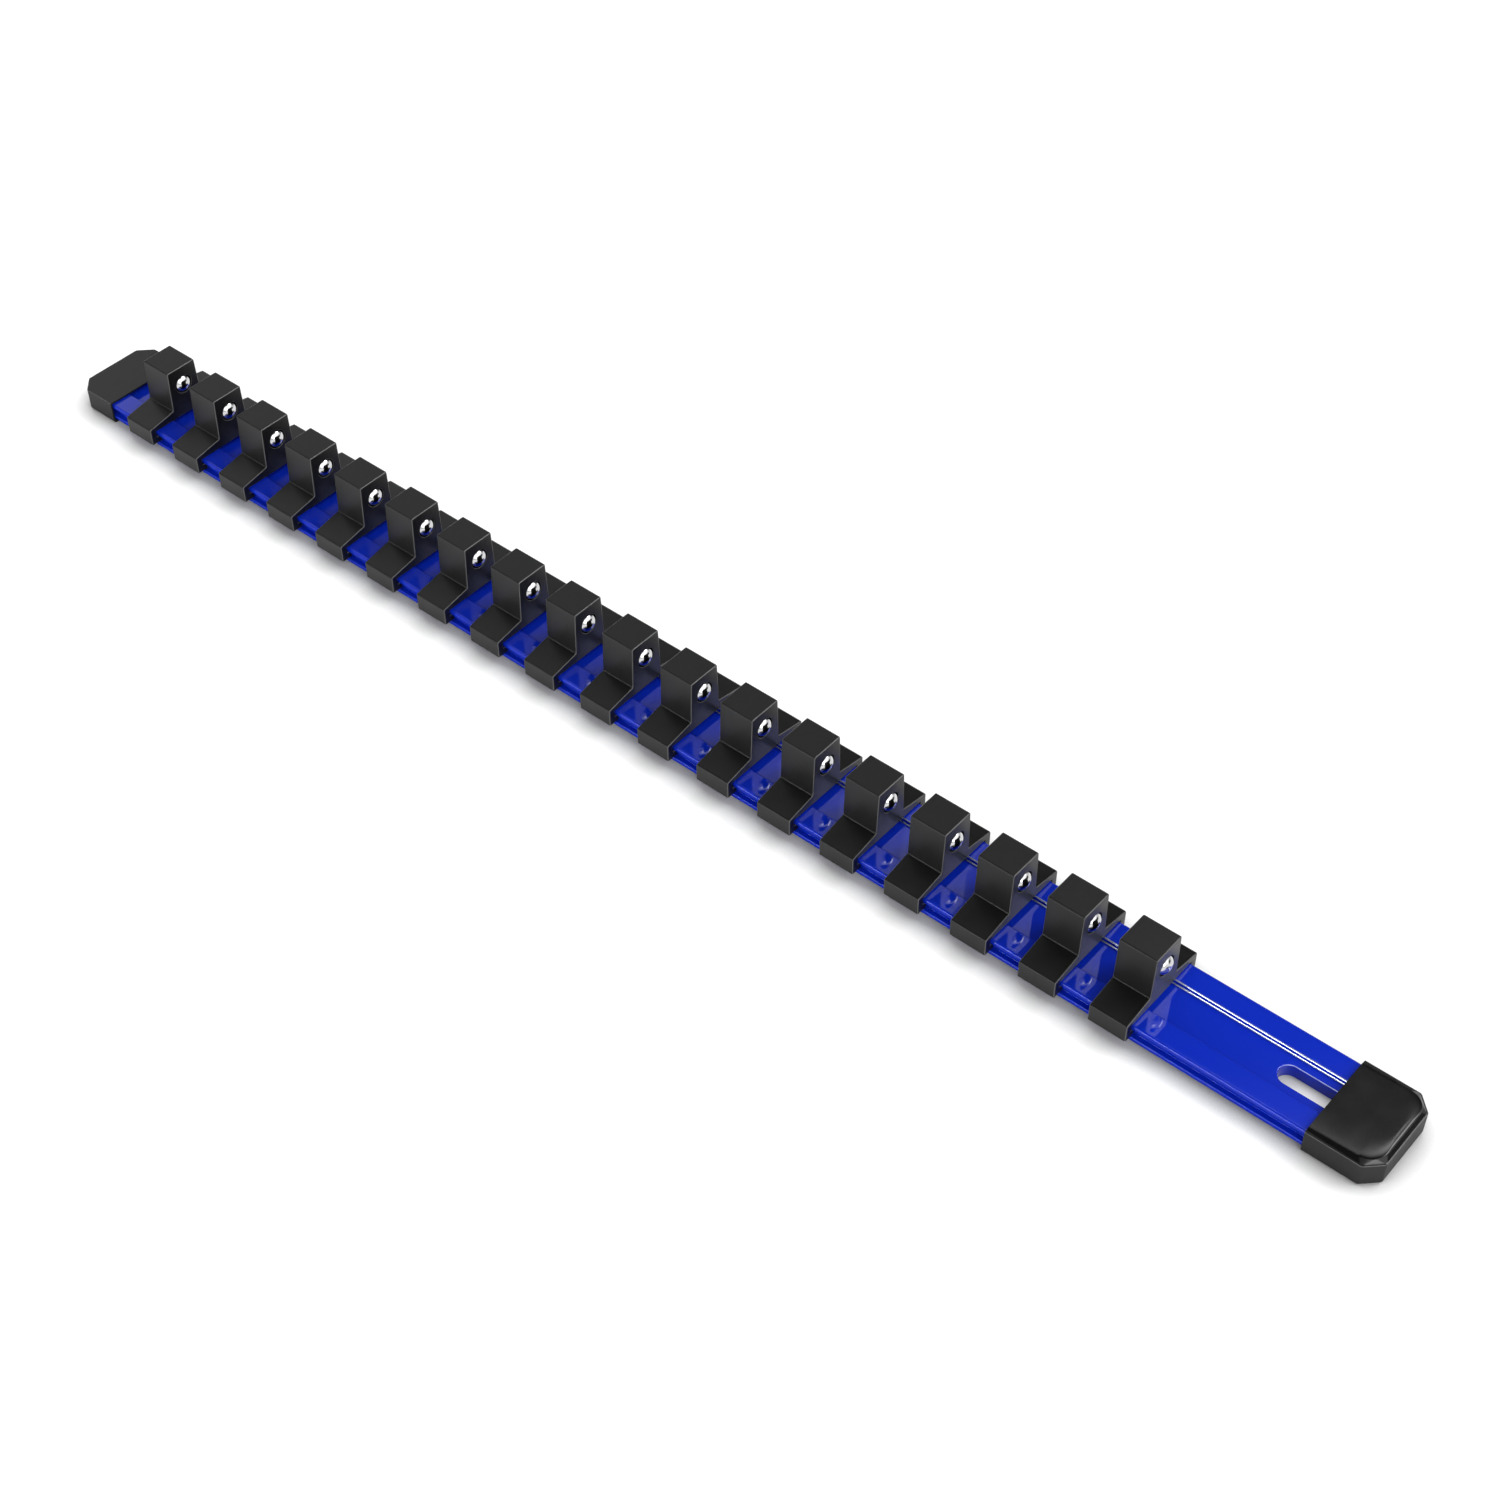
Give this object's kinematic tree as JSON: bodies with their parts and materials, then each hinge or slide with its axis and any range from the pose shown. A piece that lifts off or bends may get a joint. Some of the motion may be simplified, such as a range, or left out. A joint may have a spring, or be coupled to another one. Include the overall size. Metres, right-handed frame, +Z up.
{
  "type": "socket rail",
  "caption": "Slim aluminium rail with black end caps and a row of sliding clips, each with a square post and a sprung ball that holds a drive socket.",
  "frame": {"origin": "middle of the rail's length and width, on the surface that the two end caps stand on", "axes": "+X along the rail towards the end with the hanging slot, which is the way the balls face; +Y across the rail, away from the camera's side; +Z up, the way the posts point"},
  "size_m": [0.5092, 0.034, 0.0263],
  "materials": {
    "blue_anodised_aluminium": "glossy blue anodised",
    "black_plastic": "satin moulded black",
    "black_cap_plastic": "soft gloss moulded black",
    "chrome_steel": "polished steel ball",
    "spring_wire": "drawn spring wire"
  },
  "bodies": {
    "rail": {"rail": "blue_anodised_aluminium"},
    "left_end_cap": {"left_end_cap": "black_cap_plastic"},
    "right_end_cap": {"right_end_cap": "black_cap_plastic"},
    "clip_01": {"clip_01": "black_plastic", "spring_01": "spring_wire"},
    "ball_01": {"ball_01": "chrome_steel"},
    "clip_02": {"clip_02": "black_plastic", "spring_02": "spring_wire"},
    "ball_02": {"ball_02": "chrome_steel"},
    "clip_03": {"clip_03": "black_plastic", "spring_03": "spring_wire"},
    "ball_03": {"ball_03": "chrome_steel"},
    "clip_04": {"clip_04": "black_plastic", "spring_04": "spring_wire"},
    "ball_04": {"ball_04": "chrome_steel"},
    "clip_05": {"clip_05": "black_plastic", "spring_05": "spring_wire"},
    "ball_05": {"ball_05": "chrome_steel"},
    "clip_06": {"clip_06": "black_plastic", "spring_06": "spring_wire"},
    "ball_06": {"ball_06": "chrome_steel"},
    "clip_07": {"clip_07": "black_plastic", "spring_07": "spring_wire"},
    "ball_07": {"ball_07": "chrome_steel"},
    "clip_08": {"clip_08": "black_plastic", "spring_08": "spring_wire"},
    "ball_08": {"ball_08": "chrome_steel"},
    "clip_09": {"clip_09": "black_plastic", "spring_09": "spring_wire"},
    "ball_09": {"ball_09": "chrome_steel"},
    "clip_10": {"clip_10": "black_plastic", "spring_10": "spring_wire"},
    "ball_10": {"ball_10": "chrome_steel"},
    "clip_11": {"clip_11": "black_plastic", "spring_11": "spring_wire"},
    "ball_11": {"ball_11": "chrome_steel"},
    "clip_12": {"clip_12": "black_plastic", "spring_12": "spring_wire"},
    "ball_12": {"ball_12": "chrome_steel"},
    "clip_13": {"clip_13": "black_plastic", "spring_13": "spring_wire"},
    "ball_13": {"ball_13": "chrome_steel"},
    "clip_14": {"clip_14": "black_plastic", "spring_14": "spring_wire"},
    "ball_14": {"ball_14": "chrome_steel"},
    "clip_15": {"clip_15": "black_plastic", "spring_15": "spring_wire"},
    "ball_15": {"ball_15": "chrome_steel"},
    "clip_16": {"clip_16": "black_plastic", "spring_16": "spring_wire"},
    "ball_16": {"ball_16": "chrome_steel"},
    "clip_17": {"clip_17": "black_plastic", "spring_17": "spring_wire"},
    "ball_17": {"ball_17": "chrome_steel"},
    "clip_18": {"clip_18": "black_plastic", "spring_18": "spring_wire"},
    "ball_18": {"ball_18": "chrome_steel"}
  },
  "joints": [
    {"name": "left_end_cap_pull", "type": "slide", "parent": "rail", "child": "left_end_cap", "axis": [1, 0, 0], "range_m": [-0.015, 0]},
    {"name": "right_end_cap_pull", "type": "slide", "parent": "rail", "child": "right_end_cap", "axis": [1, 0, 0], "range_m": [0, 0.02]},
    {"name": "clip_18_slide", "type": "slide", "parent": "rail", "child": "clip_18", "axis": [1, 0, 0], "range_m": [-0.0093, 0.053]},
    {"name": "ball_18_press", "type": "slide", "parent": "clip_18", "child": "ball_18", "axis": [1, 0, 0], "range_m": [-0.0012, 0], "stiffness_N_per_m": 2000, "springref_m": 0.001, "deforming": ["spring_18"]},
    {"name": "clip_01_slide", "type": "slide", "parent": "rail", "child": "clip_01", "axis": [1, 0, 0], "range_m": [-0.0105, 0.0093]},
    {"name": "ball_01_press", "type": "slide", "parent": "clip_01", "child": "ball_01", "axis": [1, 0, 0], "range_m": [-0.0012, 0], "stiffness_N_per_m": 2000, "springref_m": 0.001, "deforming": ["spring_01"]},
    {"name": "clip_02_slide", "type": "slide", "parent": "rail", "child": "clip_02", "axis": [1, 0, 0], "range_m": [-0.0093, 0.0093]},
    {"name": "ball_02_press", "type": "slide", "parent": "clip_02", "child": "ball_02", "axis": [1, 0, 0], "range_m": [-0.0012, 0], "stiffness_N_per_m": 2000, "springref_m": 0.001, "deforming": ["spring_02"]},
    {"name": "clip_03_slide", "type": "slide", "parent": "rail", "child": "clip_03", "axis": [1, 0, 0], "range_m": [-0.0093, 0.0093]},
    {"name": "ball_03_press", "type": "slide", "parent": "clip_03", "child": "ball_03", "axis": [1, 0, 0], "range_m": [-0.0012, 0], "stiffness_N_per_m": 2000, "springref_m": 0.001, "deforming": ["spring_03"]},
    {"name": "clip_04_slide", "type": "slide", "parent": "rail", "child": "clip_04", "axis": [1, 0, 0], "range_m": [-0.0093, 0.0093]},
    {"name": "ball_04_press", "type": "slide", "parent": "clip_04", "child": "ball_04", "axis": [1, 0, 0], "range_m": [-0.0012, 0], "stiffness_N_per_m": 2000, "springref_m": 0.001, "deforming": ["spring_04"]},
    {"name": "clip_05_slide", "type": "slide", "parent": "rail", "child": "clip_05", "axis": [1, 0, 0], "range_m": [-0.0093, 0.0093]},
    {"name": "ball_05_press", "type": "slide", "parent": "clip_05", "child": "ball_05", "axis": [1, 0, 0], "range_m": [-0.0012, 0], "stiffness_N_per_m": 2000, "springref_m": 0.001, "deforming": ["spring_05"]},
    {"name": "clip_06_slide", "type": "slide", "parent": "rail", "child": "clip_06", "axis": [1, 0, 0], "range_m": [-0.0093, 0.0093]},
    {"name": "ball_06_press", "type": "slide", "parent": "clip_06", "child": "ball_06", "axis": [1, 0, 0], "range_m": [-0.0012, 0], "stiffness_N_per_m": 2000, "springref_m": 0.001, "deforming": ["spring_06"]},
    {"name": "clip_07_slide", "type": "slide", "parent": "rail", "child": "clip_07", "axis": [1, 0, 0], "range_m": [-0.0093, 0.0093]},
    {"name": "ball_07_press", "type": "slide", "parent": "clip_07", "child": "ball_07", "axis": [1, 0, 0], "range_m": [-0.0012, 0], "stiffness_N_per_m": 2000, "springref_m": 0.001, "deforming": ["spring_07"]},
    {"name": "clip_08_slide", "type": "slide", "parent": "rail", "child": "clip_08", "axis": [1, 0, 0], "range_m": [-0.0093, 0.0093]},
    {"name": "ball_08_press", "type": "slide", "parent": "clip_08", "child": "ball_08", "axis": [1, 0, 0], "range_m": [-0.0012, 0], "stiffness_N_per_m": 2000, "springref_m": 0.001, "deforming": ["spring_08"]},
    {"name": "clip_09_slide", "type": "slide", "parent": "rail", "child": "clip_09", "axis": [1, 0, 0], "range_m": [-0.0093, 0.0093]},
    {"name": "ball_09_press", "type": "slide", "parent": "clip_09", "child": "ball_09", "axis": [1, 0, 0], "range_m": [-0.0012, 0], "stiffness_N_per_m": 2000, "springref_m": 0.001, "deforming": ["spring_09"]},
    {"name": "clip_10_slide", "type": "slide", "parent": "rail", "child": "clip_10", "axis": [1, 0, 0], "range_m": [-0.0093, 0.0093]},
    {"name": "ball_10_press", "type": "slide", "parent": "clip_10", "child": "ball_10", "axis": [1, 0, 0], "range_m": [-0.0012, 0], "stiffness_N_per_m": 2000, "springref_m": 0.001, "deforming": ["spring_10"]},
    {"name": "clip_11_slide", "type": "slide", "parent": "rail", "child": "clip_11", "axis": [1, 0, 0], "range_m": [-0.0093, 0.0093]},
    {"name": "ball_11_press", "type": "slide", "parent": "clip_11", "child": "ball_11", "axis": [1, 0, 0], "range_m": [-0.0012, 0], "stiffness_N_per_m": 2000, "springref_m": 0.001, "deforming": ["spring_11"]},
    {"name": "clip_12_slide", "type": "slide", "parent": "rail", "child": "clip_12", "axis": [1, 0, 0], "range_m": [-0.0093, 0.0093]},
    {"name": "ball_12_press", "type": "slide", "parent": "clip_12", "child": "ball_12", "axis": [1, 0, 0], "range_m": [-0.0012, 0], "stiffness_N_per_m": 2000, "springref_m": 0.001, "deforming": ["spring_12"]},
    {"name": "clip_13_slide", "type": "slide", "parent": "rail", "child": "clip_13", "axis": [1, 0, 0], "range_m": [-0.0093, 0.0093]},
    {"name": "ball_13_press", "type": "slide", "parent": "clip_13", "child": "ball_13", "axis": [1, 0, 0], "range_m": [-0.0012, 0], "stiffness_N_per_m": 2000, "springref_m": 0.001, "deforming": ["spring_13"]},
    {"name": "clip_14_slide", "type": "slide", "parent": "rail", "child": "clip_14", "axis": [1, 0, 0], "range_m": [-0.0093, 0.0093]},
    {"name": "ball_14_press", "type": "slide", "parent": "clip_14", "child": "ball_14", "axis": [1, 0, 0], "range_m": [-0.0012, 0], "stiffness_N_per_m": 2000, "springref_m": 0.001, "deforming": ["spring_14"]},
    {"name": "clip_15_slide", "type": "slide", "parent": "rail", "child": "clip_15", "axis": [1, 0, 0], "range_m": [-0.0093, 0.0093]},
    {"name": "ball_15_press", "type": "slide", "parent": "clip_15", "child": "ball_15", "axis": [1, 0, 0], "range_m": [-0.0012, 0], "stiffness_N_per_m": 2000, "springref_m": 0.001, "deforming": ["spring_15"]},
    {"name": "clip_16_slide", "type": "slide", "parent": "rail", "child": "clip_16", "axis": [1, 0, 0], "range_m": [-0.0093, 0.0093]},
    {"name": "ball_16_press", "type": "slide", "parent": "clip_16", "child": "ball_16", "axis": [1, 0, 0], "range_m": [-0.0012, 0], "stiffness_N_per_m": 2000, "springref_m": 0.001, "deforming": ["spring_16"]},
    {"name": "clip_17_slide", "type": "slide", "parent": "rail", "child": "clip_17", "axis": [1, 0, 0], "range_m": [-0.0093, 0.0093]},
    {"name": "ball_17_press", "type": "slide", "parent": "clip_17", "child": "ball_17", "axis": [1, 0, 0], "range_m": [-0.0012, 0], "stiffness_N_per_m": 2000, "springref_m": 0.001, "deforming": ["spring_17"]}
  ]
}
